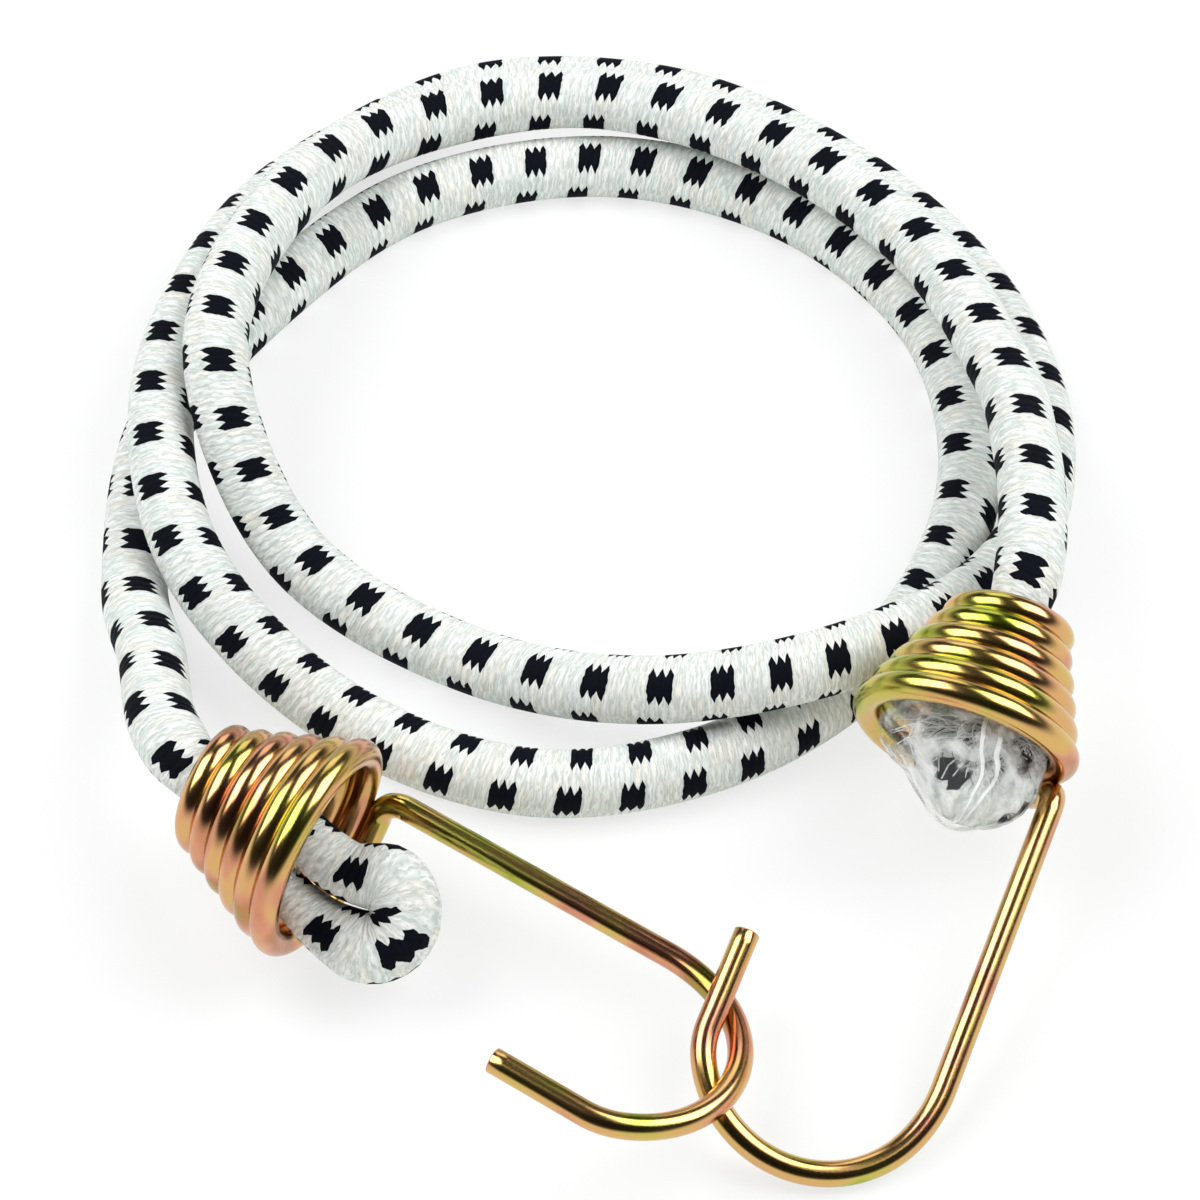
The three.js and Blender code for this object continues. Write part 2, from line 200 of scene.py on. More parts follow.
def through_points(points, steps):
    """A curve through points with slopes half the step between each point's neighbours.

    Each span is the cubic p1 (2t^3 - 3t^2 + 1) + p2 (3t^2 - 2t^3) + m1 (t^3 - 2t^2 + t)
    + m2 (t^3 - t^2), and the ends are carried on straight.
    """
    p = np.asarray(points, float)
    p = p.reshape(len(p), -1)
    wide = np.vstack((2 * p[0] - p[1], p, 2 * p[-1] - p[-2]))
    slope = (wide[2:] - wide[:-2]) / 2
    t = (np.arange(steps) / steps)[None, :, None]
    p1, p2, m1, m2 = (x[:, None] for x in (p[:-1], p[1:], slope[:-1], slope[1:]))
    spans = (p1 * (2 * t**3 - 3 * t**2 + 1) + p2 * (3 * t**2 - 2 * t**3)
             + m1 * (t**3 - 2 * t**2 + t) + m2 * (t**3 - t**2))
    return np.vstack((spans.reshape(-1, p.shape[1]), p[-1:]))


def run_along(points):
    """The length from the first point to each point."""
    return np.concatenate(((0,), np.cumsum(np.linalg.norm(np.diff(points, axis=0), axis=1))))


def evenly(points, step):
    """The same line with points about a step apart, and the length to each of them."""
    run = run_along(points)
    count = max(2, int(round(run[-1] / step)) + 1)
    at = np.linspace(0, run[-1], count)
    return np.stack([np.interp(at, run, points[:, k]) for k in range(points.shape[1])], 1), at


def unit(vectors):
    """Each row divided by its length."""
    return vectors / np.linalg.norm(vectors, axis=1, keepdims=True)


def eased(value):
    """A smooth rise from 0 to 1: s^2 (3 - 2 s), where s is the value held between 0 and 1."""
    share = np.clip(value, 0, 1)
    return share * share * (3 - 2 * share)


def level_frames(line):
    """Level directions square to a line, and ones square to both, which point up."""
    along = unit(np.gradient(line, axis=0))
    side = unit(np.cross((0, 0, 1), along))
    return side, np.cross(along, side)


def cord_line(step):
    """The cord's centreline from cut end to cut end, its radius and the length to each point."""
    left, right = hook_pose(*LEFT_HOOK), hook_pose(*RIGHT_HOOK)
    left_rows = np.vstack((LEFT_TAIL, fold_rows(*LEFT_FOLD), LEFT_LEAD))
    right_rows = np.vstack((RIGHT_LEAD, fold_rows(*RIGHT_FOLD), RIGHT_TAIL))
    points = np.vstack((
        placed(left_rows[:, :3], left), CORD_ROUTE, placed(right_rows[:, :3], right)))
    radii = np.concatenate((
        left_rows[:, 3], np.full(len(CORD_ROUTE), CORD_RADIUS), right_rows[:, 3]))
    curve = through_points(points, steps=24)
    places = np.linspace(0, len(points) - 1, len(curve))
    squeezed = np.interp(places, np.arange(len(points)), radii)
    fine, run = evenly(np.column_stack((curve, squeezed)), step)
    return fine[:, :3], fine[:, 3], run * run_along(curve)[-1] / run[-1]


def between_knots(at, values):
    """A smooth value at each length, from knots KNOT_SPACING apart, on the curve through them."""
    fine = through_points(values, steps=40).ravel()
    return np.interp(at, np.linspace(0, KNOT_SPACING * (len(values) - 1), len(fine)), fine)


def ring_angles(sides):
    """The angles of a ring's corners."""
    return 2 * np.pi * np.arange(sides) / sides


def tube_points(line, side, upright, radii, angles):
    """P(i, a) = line_i + radius_ia (cos a side_i + sin a upright_i)."""
    radii = np.asarray(radii, float).reshape(len(line), -1, 1)
    cosine, sine = np.cos(angles)[None, :, None], np.sin(angles)[None, :, None]
    return line[:, None] + radii * (cosine * side[:, None] + sine * upright[:, None])


def round_faces(rows, sides, start=0, inward=False):
    """Quads (i, k), (i, k+1), (i+1, k+1), (i+1, k) between rings, joined round, facing outwards."""
    i, k = np.meshgrid(np.arange(rows - 1), np.arange(sides), indexing="ij")
    a, b = start + i * sides + k, start + i * sides + (k + 1) % sides
    quads = np.stack((a, b, b + sides, a + sides), -1).reshape(-1, 4)
    return quads[:, ::-1] if inward else quads


def closed_faces(rows, sides, start=0):
    """The faces of a tube with both its ends closed."""
    first = start + np.arange(sides)
    return [round_faces(rows, sides, start), [first[::-1]], [first + (rows - 1) * sides]]


def new_piece(name, points, faces, material, uv=None):
    """One smooth-shaded mesh object from points in millimetres and a list of arrays of faces."""
    mesh = bpy.data.meshes.new(name)
    mesh.from_pydata((np.asarray(points).reshape(-1, 3) * MM).tolist(), [],
                     [face for array in faces for face in np.asarray(array).tolist()])
    mesh.polygons.foreach_set("use_smooth", np.ones(len(mesh.polygons), bool))
    if uv is not None:
        layer = mesh.uv_layers.new(name="lay")
        flat = np.zeros((len(mesh.loops), 2), np.float32)
        flat[:len(uv)] = uv
        layer.data.foreach_set("uv", flat.ravel())
    mesh.materials.append(material)
    mesh.validate()
    piece = bpy.data.objects.new(name, mesh)
    bpy.context.scene.collection.objects.link(piece)
    return piece


def corner_uv(u, v):
    """The four corners' values of each quad of a grid, from values on the grid's points."""
    values = np.stack((u, v), -1)
    first, second = values[:-1], values[1:]
    corners = (first[:, :-1], first[:, 1:], second[:, 1:], second[:, :-1])
    return np.stack(corners, 2).reshape(-1, 2)


def hook_line(steps):
    """The wire's centreline in the hook's own frame, and the turns gone by at each point.

    The winding is (along, r cos a, r sin a): r and along grow evenly with a over the cone, and
    a part turn at each end keeps its radius. A quarter turn leads into the shank, then come
    three arcs and the straight tip, all in the plane z = 0.
    """
    wire_radius = WIRE_PITCH_DIAMETER / 2
    narrow = RING_CORD_RADIUS + RING_CLEARANCE + wire_radius
    growth = (MOUTH_RADIUS - narrow) / CONE_TURNS
    pitch, open_pitch = (np.sqrt((WIRE_PITCH_DIAMETER + gap) ** 2 - growth**2)
                         for gap in (TURN_GAP, OPEN_TURN_GAP))
    crank = LEG_START - MOUTH_PART_TURN * open_pitch
    last_angle = 2 * np.pi - np.arcsin(crank / MOUTH_RADIUS)
    turns = NARROW_PART_TURN + CONE_TURNS + MOUTH_PART_TURN
    turn = np.linspace(0, turns, int(turns * steps))
    cone_turn = np.clip(turn - NARROW_PART_TURN, 0, CONE_TURNS)
    before = np.clip(NARROW_PART_TURN - turn, 0, None)
    beyond = np.clip(turn - NARROW_PART_TURN - CONE_TURNS, 0, None)
    along = (cone_turn - CONE_TURNS) * pitch + (beyond - before) * open_pitch
    radius = narrow + cone_turn * growth
    angle = last_angle - 2 * np.pi * (turns - turn)
    winding = np.stack((along, radius * np.cos(angle), radius * np.sin(angle)), 1)
    # The cut end runs straight on for one wire's width
    outward = winding[0] - winding[int(steps / 12)]
    outward *= WIRE_PITCH_DIAMETER / np.linalg.norm(outward)
    start = winding[0] + outward * np.linspace(1, 0.2, 5)[:, None]
    share = np.linspace(0, 1, 13)[1:]
    last = winding[-1]
    lead = np.stack((
        last[0] + crank * (1 - np.cos(share * np.pi / 2)),
        last[1] + (MOUTH_RADIUS - last[1]) * np.sin(share * np.pi / 2),
        last[2] + crank * np.sin(share * np.pi / 2)), 1)
    hook = [np.array((LEG_START + SHANK_LENGTH * t, MOUTH_RADIUS, 0.0))
            for t in np.linspace(0, 1, 30)]
    heading = 0.0
    for bend_radius, bend in BENDS:
        swept = np.radians(bend) * np.linspace(0, 1, int(bend / 3) + 2)[1:]
        place = hook[-1]
        hook.extend(np.stack((
            place[0] + bend_radius * (np.sin(heading) - np.sin(heading - swept)),
            place[1] + bend_radius * (np.cos(heading - swept) - np.cos(heading)),
            np.zeros_like(swept)), 1))
        heading -= np.radians(bend)
    ahead = np.array((np.cos(heading), np.sin(heading), 0))
    tip = hook[-1] + TIP_LENGTH * np.linspace(0, 1, 8)[1:, None] * ahead
    line = np.vstack((start, winding, lead, hook, tip))
    # Beyond the winding the count only has to keep growing
    gone = np.concatenate((np.zeros(len(start)), turn, turns + share * 0.1))
    rest = turns + 0.1 + np.arange(len(line) - len(gone)) * 0.001
    return line, np.concatenate((gone, rest))


# Materials

def add_node(tree, kind, *inputs, stops=(), **settings):
    """Adds one node and returns the first of its outputs in use.

    kind is the node's name, with a maths node's operation after it. inputs are values or sockets
    for the inputs in use, in order. A capitalised setting is an input's name, and any other is
    the node's own. stops are a colour ramp's places and colours.
    """
    kind, _, operation = kind.partition(" ")
    node = tree.nodes.new("ShaderNode" + kind)
    if operation:
        node.operation = operation
    for name, value in settings.items():
        if name[0].islower():
            setattr(node, name, value)
    for k, (at, colour) in enumerate(stops):
        elements = node.color_ramp.elements
        element = elements[k] if k < len(elements) else elements.new(at)
        element.position, element.color = at, colour
    in_use = [socket for socket in node.inputs if socket.enabled]
    named = [(node.inputs[name], settings[name]) for name in settings if name[0].isupper()]
    for socket, value in (*zip(in_use, inputs), *named):
        if isinstance(value, bpy.types.NodeSocket):
            tree.links.new(value, socket)
        else:
            socket.default_value = value
    return next(socket for socket in node.outputs if socket.enabled)


def new_material(name, **surface):
    """A material with one principled surface, whose constants are set on its own sockets."""
    material = bpy.data.materials.new(name)
    material.use_nodes = True
    tree = material.node_tree
    shader = tree.nodes["Principled BSDF"]
    for socket, value in surface.items():
        shader.inputs[socket.replace("_", " ")].default_value = value
    return material, tree, shader


def woven_cover_material(cover, check):
    """Tight polyester braid: eight columns of pointed floats, every other one with black checks.

    A float is a bundle of fine yarns, about 1.15 mm wide and 45 degrees of the cord long, and its
    pointed ends lie between the next column's, which gives each check its teeth.
    """
    material, tree, shader = new_material(
        "woven_polyester_cover", Roughness=0.75, Specular_IOR_Level=0.06)
    lay = add_node(tree, "UVMap", uv_map="lay")
    checks, rows = add_node(tree, "SeparateXYZ", lay).node.outputs[:2]
    place = add_node(tree, "TexCoord").node.outputs["Object"]
    noise = add_node(tree, "TexNoise", Vector=place, Scale=900.0, Detail=1.0)
    wobble = add_node(tree, "Math SUBTRACT", noise, 0.5)
    wavy = add_node(tree, "Math MULTIPLY", wobble, 0.4)
    yarns_along = add_node(tree, "Math MULTIPLY_ADD", checks, YARNS_PER_CHECK, wavy)
    around = add_node(tree, "Math MULTIPLY_ADD", wobble, 0.08, rows)
    # The even column nearest to each point, and the odd one on the point's side of it
    pair = add_node(tree, "Math ROUND", add_node(tree, "Math MULTIPLY", around, 0.5))
    even = add_node(tree, "Math MULTIPLY", pair, 2.0)
    even_off = add_node(tree, "Math SUBTRACT", around, even)
    even_start = add_node(tree, "Math MULTIPLY_ADD", even, COLUMN_STEP, yarns_along)
    even_yarn = add_node(tree, "Math MULTIPLY_ADD", even_off, YARN_SLANT, even_start)
    odd = add_node(tree, "Math ADD", even, add_node(tree, "Math SIGN", even_off))
    odd_off = add_node(tree, "Math SUBTRACT", around, odd)
    odd_start = add_node(tree, "Math MULTIPLY_ADD", odd, COLUMN_STEP, yarns_along)
    odd_yarn = add_node(tree, "Math MULTIPLY_ADD", odd_off, YARN_SLANT, odd_start)
    # The edge between them zigzags from yarn to yarn
    far_off = add_node(tree, "Math ABSOLUTE", even_off)
    even_middle = add_node(tree, "Math PINGPONG", even_yarn, 0.5)
    point = add_node(tree, "Math MULTIPLY_ADD", even_middle, -4.0, 1.0)
    edge = add_node(tree, "Math MULTIPLY_ADD", point, -0.13, far_off)
    in_even = add_node(tree, "Math LESS_THAN", edge, 0.49)
    yarn = add_node(tree, "Mix", in_even, odd_yarn, even_yarn)
    column = add_node(tree, "Mix", in_even, odd, even)
    column_off = add_node(tree, "Math SUBTRACT", around, column)
    length_off = add_node(tree, "Math ABSOLUTE", column_off)
    # Three of the seven yarns are black
    check_off = add_node(tree, "Math WRAP", even_yarn, YARNS_PER_CHECK / 2, -YARNS_PER_CHECK / 2)
    from_check = add_node(tree, "Math ABSOLUTE", check_off)
    tooth = add_node(tree, "Math PINGPONG", from_check, 0.5)
    toothed = add_node(tree, "Math MULTIPLY_ADD", tooth, 0.74, far_off)
    in_width = add_node(tree, "Math LESS_THAN", from_check, 1.37)
    in_length = add_node(tree, "Math LESS_THAN", toothed, 0.73)
    black = add_node(tree, "Math MULTIPLY", in_width, in_length)
    # Low, flat floats that dip under at their points
    from_middle = add_node(tree, "Math PINGPONG", yarn, 0.5)
    slope = add_node(tree, "Math POWER", add_node(tree, "Math MULTIPLY", from_middle, 2.0), 1.8)
    ridge = add_node(tree, "Math SUBTRACT", 1.0, slope)
    sunk = add_node(tree, "Math POWER", add_node(tree, "Math MULTIPLY", length_off, 1.5), 3.0)
    dip = add_node(tree, "Math SUBTRACT", 1.0, sunk, use_clamp=True)
    height = add_node(tree, "Math MULTIPLY", ridge, dip)
    # Filaments along each float, in streaks 0.3 mm apart
    streaks = add_node(tree, "CombineXYZ", add_node(tree, "Math MULTIPLY", yarn, 2.4), around)
    filament = add_node(tree, "TexNoise", Vector=streaks, Scale=1.7, Detail=3.0, Roughness=0.6)
    # Each float's own tint of white, and slight soiling in patches
    each = add_node(tree, "CombineXYZ", add_node(tree, "Math ROUND", yarn), column)
    chance = add_node(tree, "TexWhiteNoise", Vector=each, noise_dimensions="2D")
    tint = add_node(tree, "ValToRGB", chance, stops=(
        (0, linear("e9eeec")), (0.45, linear("f6f8f7")), (0.97, linear("f2eee7")), (1, cover)))
    patches = add_node(tree, "TexNoise", Vector=place, Scale=120.0, Detail=2.0)
    soiled = add_node(tree, "MapRange", patches, 0.5, 0.75, 0.0, 0.45)
    greyed = add_node(tree, "Mix", soiled, tint, linear("dfe3dc"), data_type="RGBA")
    # Painted shade greys the white toward aab5af where a float is low, at its edges and points; the
    # filament streaks grey it the same way
    low = add_node(tree, "Math SUBTRACT", 1.0, height)
    groove_shade = add_node(tree, "Math MULTIPLY", low, 0.6, use_clamp=True)
    strand = add_node(tree, "MapRange", filament, 0.4, 0.58, 0.7, 0.0)
    shade = add_node(tree, "Math MAXIMUM", groove_shade, strand)
    white = add_node(tree, "Mix", shade, greyed, linear("aab5af"), data_type="RGBA")
    glint = add_node(tree, "Math MULTIPLY", filament, 0.5)
    dark = add_node(tree, "Mix", glint, check, linear("161b26"), data_type="RGBA")
    colour = add_node(tree, "Mix", black, white, dark, data_type="RGBA")
    tree.links.new(colour, shader.inputs["Base Color"])
    relief = add_node(tree, "Math ADD", height, add_node(tree, "Math MULTIPLY", filament, 0.6))
    bump = add_node(tree, "Bump", Height=relief, Strength=0.45, Distance=0.0002)
    tree.links.new(bump, shader.inputs["Normal"])
    return material


def zinc_wire_material(gold):
    """Bright steel wire, zinc plated and yellow passivated: gold, with green and pink blooms.

    The film's colour changes with its thickness, in blooms BLOOM_LENGTH long. The bath leaves them
    on the same side of neighbouring turns, so they follow the place more than the wire's run.
    """
    material, tree, shader = new_material("yellow_zinc_plated_wire", Metallic=1.0)
    # The run along the wire in blooms, and a circle round it, so that no seam shows
    lay = add_node(tree, "UVMap", uv_map="lay")
    run, share = add_node(tree, "SeparateXYZ", lay).node.outputs[:2]
    turned = add_node(tree, "Math MULTIPLY", share, 2 * np.pi)
    cosine, sine = (add_node(tree, "Math " + part, turned) for part in ("COSINE", "SINE"))
    # The second pair of directions gives fine drawing lines along the wire, 0.2 mm apart
    skin, lines = (
        add_node(tree, "CombineXYZ", run, add_node(tree, "Math MULTIPLY", cosine, radius),
                 add_node(tree, "Math MULTIPLY", sine, radius)) for radius in (0.35, 8.0))
    along = add_node(tree, "TexNoise", Vector=skin, Scale=0.9, Detail=2.0)
    place = add_node(tree, "TexCoord").node.outputs["Object"]
    bloom = add_node(tree, "TexNoise", Vector=place, Scale=62.0, Detail=1.0)
    # The bath's slow drift, 50 mm from pink to green and back
    across = add_node(tree, "SeparateXYZ", place)
    phase = add_node(tree, "Math MULTIPLY_ADD", across, 2 * np.pi / 0.05, -0.25)
    drift = add_node(tree, "Math MULTIPLY", add_node(tree, "Math COSINE", phase), 0.04)
    film = add_node(tree, "Math MULTIPLY_ADD", bloom, 0.45, drift)
    film = add_node(tree, "Math MULTIPLY_ADD", along, 0.55, film)
    ramp = add_node(tree, "ValToRGB", film, stops=(
        (0.36, linear("a5af3c")), (0.415, linear("c5ba5a")), (0.465, gold),
        (0.54, linear("d9a871")), (0.58, linear("d49275")), (0.63, linear("bb8455")),
        (0.69, linear("a19343"))))
    tree.links.new(ramp, shader.inputs["Base Color"])
    grain = add_node(tree, "TexNoise", Vector=lines, Scale=1.0, Detail=2.0)
    rough = add_node(tree, "MapRange", grain, 0.0, 1.0, 0.13, 0.27)
    tree.links.new(rough, shader.inputs["Roughness"])
    bump = add_node(tree, "Bump", Height=grain, Strength=0.2, Distance=0.00004)
    tree.links.new(bump, shader.inputs["Normal"])
    return material


def rubber_material(colour):
    """Natural rubber, cut from sheet: matte, dusted with talc, uneven amber."""
    material, tree, shader = new_material("cut_natural_rubber", Roughness=0.7)
    place = add_node(tree, "TexCoord").node.outputs["Object"]
    cloud = add_node(tree, "TexNoise", Vector=place, Scale=400.0, Detail=3.0)
    mix = add_node(tree, "Mix", cloud, colour, linear("e0d3b4"), data_type="RGBA")
    tree.links.new(mix, shader.inputs["Base Color"])
    return material


def clear_tape_material():
    """Clear polypropylene film: thin and glossy, cloudy white where it is creased, with two lines
    of painted highlight.
    """
    material, tree, shader = new_material("clear_polypropylene_film", Roughness=0.16, IOR=1.49)
    uv = add_node(tree, "UVMap", uv_map="lay")
    place = add_node(tree, "TexCoord").node.outputs["Object"]
    cloud = add_node(tree, "TexNoise", Vector=place, Scale=260.0, Detail=3.0, Distortion=0.8)
    # Creases that run with the film, from the mouth of the winding to the tip
    drawn = add_node(tree, "Mapping", Vector=uv, Scale=(15.0, 3.4, 1.0))
    crease = add_node(tree, "TexNoise", Vector=drawn, Scale=1.0, Detail=3.0)
    both = add_node(tree, "Math ADD", cloud, crease)
    cloudy = add_node(tree, "MapRange", both, 0.9, 1.22, 0.03, 0.62)
    # Two thin lines of painted highlight, where the film is made opaque white, at their shares of a
    # turn round the film
    around, down = add_node(tree, "SeparateXYZ", uv).node.outputs[:2]
    turned = add_node(tree, "Math MULTIPLY_ADD", down, 0.0267, around)
    highlight_lines = (add_node(tree, "Math COMPARE", turned, at, 0.0035) for at in (0.2085, 0.2404))
    painted_highlight = add_node(tree, "Math MAXIMUM", *highlight_lines)
    solid = add_node(tree, "Math MULTIPLY_ADD", painted_highlight, 0.85, cloudy, use_clamp=True)
    tree.links.new(solid, shader.inputs["Alpha"])
    tone = add_node(tree, "MapRange", crease, 0.35, 0.62)
    colour = add_node(tree, "Mix", tone, linear("e9edeb"), linear("ffffff"), data_type="RGBA")
    tree.links.new(colour, shader.inputs["Base Color"])
    relief = add_node(tree, "Math MULTIPLY_ADD", crease, 0.7, cloud)
    bump = add_node(tree, "Bump", Height=relief, Strength=0.7, Distance=0.0006)
    tree.links.new(bump, shader.inputs["Normal"])
    return material


def loose_yarn_material(name, colour, shade):
    """Loose polyester filaments at the cut end: bright, with a soft sheen."""
    material, tree, shader = new_material(name, Roughness=0.55, Sheen_Weight=0.2)
    place = add_node(tree, "TexCoord").node.outputs["Object"]
    cloud = add_node(tree, "TexNoise", Vector=place, Scale=900.0, Detail=2.0)
    mix = add_node(tree, "Mix", cloud, linear(shade), colour, data_type="RGBA")
    tree.links.new(mix, shader.inputs["Base Color"])
    return material


# Settings

class CordSettings(bpy.types.PropertyGroup):
    """Sizes and colours of the woven cord."""
    diameter: FloatProperty(
        name="Cord diameter", description="Across the woven cover", default=0.008, min=0.004,
        max=0.02, unit="LENGTH", precision=4)
    cover_wall: FloatProperty(
        name="Cover wall", description="Thickness of the woven cover", default=0.00085, min=0.0003,
        max=0.002, unit="LENGTH", precision=5)
    sides: IntProperty(
        name="Sides", description="Sides of the cover's tube", default=44, min=12, max=64)
    cover_colour: FloatVectorProperty(
        name="Cover colour", description="White yarn of the cover", subtype="COLOR", size=4,
        default=linear("fdfdfc"), min=0, max=1)
    check_colour: FloatVectorProperty(
        name="Check colour", description="Dark yarn of the checks", subtype="COLOR", size=4,
        default=linear("05070d"), min=0, max=1)
    loose_strands: IntProperty(
        name="Loose strands", description="Strands of frayed yarn at the right end", default=110,
        min=0, max=400)
    rubber_colour: FloatVectorProperty(
        name="Rubber colour", description="Threads of the core", subtype="COLOR", size=4,
        default=linear("c9b48a"), min=0, max=1)


class HookSettings(bpy.types.PropertyGroup):
    """Sizes and colours of the wire hooks."""
    wire_diameter: FloatProperty(
        name="Wire diameter", description="Across the plated wire", default=0.0029, min=0.002,
        max=0.004, unit="LENGTH", precision=4)
    pressed: FloatProperty(
        name="Pressed width", description="How much thicker the wire is drawn where it is wound",
        default=0.00022, min=0, max=0.0004, unit="LENGTH", precision=5)
    sides: IntProperty(name="Sides", description="Sides of the wire", default=24, min=8, max=48)
    gold: FloatVectorProperty(
        name="Plating colour", description="Main colour of the yellow plating", subtype="COLOR",
        size=4, default=linear("d6b169"), min=0, max=1)


class StageSettings(bpy.types.PropertyGroup):
    """Light and ground."""
    box_power: FloatProperty(
        name="Softbox power", description="Light of each of the two softboxes", default=5.4, min=0,
        max=100, unit="POWER")
    world_strength: FloatProperty(
        name="World strength", description="Light from the room's walls", default=0.8, min=0, max=3)
    shadow_share: FloatProperty(
        name="Shadow share", description="How much of its shading the white ground shows",
        default=0.28, min=0, max=1, subtype="FACTOR")


# Pieces

class BUNGEE_OT_camera(bpy.types.Operator):
    """Adds the camera that looks at the cord from the front and above"""
    bl_idname = "bungee.camera"
    bl_label = "Add Camera"

    def execute(self, context):
        data = bpy.data.cameras.new("photo_camera")
        data.lens = CAMERA_LENS
        data.sensor_width = 36
        data.clip_start = 0.01
        camera = bpy.data.objects.new("photo_camera", data)
        elevation = np.radians(CAMERA_ELEVATION)
        away = np.array((0, -np.cos(elevation), np.sin(elevation))) * CAMERA_DISTANCE
        camera.location = Vector((np.array(CAMERA_FOCUS) + away) * MM)
        camera.rotation_euler = (np.pi / 2 - elevation, 0, 0)
        context.scene.collection.objects.link(camera)
        context.scene.camera = camera
        return {"FINISHED"}


class BUNGEE_OT_woven_cord(bpy.types.Operator):
    """Adds the woven cover and its rubber core, one length from cut end to cut end"""
    bl_idname = "bungee.woven_cord"
    bl_label = "Add Woven Cord"

    @staticmethod
    def rubber_core(settings):
        """The core's threads, side by side in rows, each a square with rounded corners.

        The corner at angle c is width / 2 / max(|cos c|, |sin c|) from a thread's middle, but no
        more than THREAD_CORNER widths, and every size is drawn in with the cord.
        """
        line, radii, _ = cord_line(step=3.0)
        side, upright = level_frames(line)
        squeeze = (radii / CORD_RADIUS)[:, None]
        sides = 8
        corners = ring_angles(sides)
        square = THREAD_WIDTH / 2 / np.maximum(np.abs(np.cos(corners)), np.abs(np.sin(corners)))
        reach = squeeze * np.minimum(square, THREAD_WIDTH * THREAD_CORNER)
        threads, faces = [], []
        for row, count in enumerate(CORE_ROW_COUNTS):
            up = (row - (len(CORE_ROW_COUNTS) - 1) / 2) * THREAD_SPACING
            for k in range(count):
                across = (k - (count - 1) / 2) * THREAD_SPACING
                start = len(threads) * len(line) * sides
                middle = line + squeeze * (across * side + up * upright)
                threads.append(tube_points(middle, side, upright, reach, corners).reshape(-1, 3))
                faces += closed_faces(len(line), sides, start)
        core = new_piece("rubber_core", np.concatenate(threads), faces,
                         rubber_material(settings.rubber_colour))
        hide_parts(*(f"rubber_thread_{i + 1}" for i in range(len(threads))))
        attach(core, "cord")
        return core

    def execute(self, context):
        settings = context.scene.bungee_cord
        line, radii, run = cord_line(CORD_STEP)
        if not CORD_LENGTH_RANGE[0] < run[-1] < CORD_LENGTH_RANGE[1]:
            raise RuntimeError("the cord's route isn't a metre long")
        radii = radii * settings.diameter / (2 * CORD_RADIUS * MM)
        side, upright = level_frames(line)
        sides = settings.sides
        angles = ring_angles(sides)
        # The underside is flat where it lies on the ground
        outer = tube_points(line, side, upright, radii, angles)
        outer[:, :, 2] = np.maximum(outer[:, :, 2], 0)
        # The bore has every sixth ring only
        wall = settings.cover_wall / settings.diameter * 2 * radii
        coarse = np.unique(np.concatenate((np.arange(0, len(line), 6), (len(line) - 1,))))
        inner = tube_points(line, side, upright, radii - wall, angles)[coarse]
        inner[:, :, 2] = np.maximum(inner[:, :, 2], BORE_HEIGHT)
        # The bore's faces come after the outside's, and a ring of faces closes each cut end
        first_inner = len(line) * sides
        k = np.arange(sides)
        after = (k + 1) % sides
        last_outer, last_inner = first_inner - sides, first_inner + (len(coarse) - 1) * sides
        start_ring = np.stack((after, k, first_inner + k, first_inner + after), 1)
        end_ring = np.stack(
            (last_outer + k, last_outer + after, last_inner + after, last_inner + k), 1)
        faces = [round_faces(len(line), sides), round_faces(len(coarse), sides, first_inner, True),
                 start_ring, end_ring]
        # Checks gone by, and columns of 45 degrees from the first row
        turn = np.degrees(2 * np.pi * np.arange(sides + 1) / sides)[None]
        rows = (turn - between_knots(run, ROW_ANGLES)[:, None]) / 45
        checks = between_knots(run, CHECKS_GONE_BY)[:, None] + np.zeros_like(rows)
        material = woven_cover_material(settings.cover_colour, settings.check_colour)
        points = np.concatenate((outer.reshape(-1, 3), inner.reshape(-1, 3)))
        cord = new_piece("woven_cord", points, faces, material, corner_uv(checks, rows))
        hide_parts("woven_cover")
        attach(cord, "cord")

        core = self.rubber_core(settings)
        path, _, _ = cord_line(step=2.0)
        return {"FINISHED"}


class BUNGEE_OT_wire_hooks(bpy.types.Operator):
    """Adds the two hooks of plated wire, each wound into a cone on the cord's folded end"""
    bl_idname = "bungee.wire_hooks"
    bl_label = "Add Wire Hooks"

    def execute(self, context):
        settings = context.scene.bungee_hooks
        material = zinc_wire_material(settings.gold)
        local, gone = hook_line(steps=72)
        along = unit(np.gradient(local, axis=0))
        # Rings start outward from the cone's axis on the winding, square to the hook's plane
        # beyond it, and turn from one to the other over the last part turn
        share = eased((gone - LEVEL_FROM_TURN) / MOUTH_PART_TURN)[:, None]
        outward = unit(np.column_stack((np.zeros(len(local)), local[:, 1:])))
        guide = outward * (1 - share) + np.array((0, 0, -1.0)) * share
        side = unit(guide - along * np.sum(guide * along, axis=1, keepdims=True))
        upright = np.cross(along, side)
        # A smaller ring at each cut end takes off the sharp edge
        line = np.vstack((local[0], local[0] + along[0] * END_EASE, local[1:-1],
                          local[-1] - along[-1] * END_EASE, local[-1]))
        rows = np.concatenate(((0, 0), np.arange(1, len(local) - 1), (-1, -1)))
        # The winding's wire is pressed a little wider, so that its turns all but touch
        pressed = eased((PRESSED_TO_TURN - gone[rows]) / PRESSED_FADE)
        radii = settings.wire_diameter / 2 / MM + settings.pressed / MM * pressed
        radii[[0, -1]] -= END_EASE
        sides = settings.sides
        rings = tube_points(line, side[rows], upright[rows], radii, ring_angles(sides))
        faces = closed_faces(len(line), sides)
        # The run along the wire in blooms, and the share of a turn round it
        blooms, around = run_along(line) / BLOOM_LENGTH, np.arange(sides + 1) / sides
        uv = corner_uv(*np.meshgrid(blooms, around, indexing="ij"))
        for node, body, pose in (("left_wire_hook", "left_hook", LEFT_HOOK),
                                 ("right_wire_hook", "right_hook", RIGHT_HOOK)):
            points = placed(rings.reshape(-1, 3), hook_pose(*pose))
            hook = new_piece(node.replace("_hook", "_hook_wire"), points, faces, material, uv)
            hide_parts(node)
            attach(hook, body)
        return {"FINISHED"}


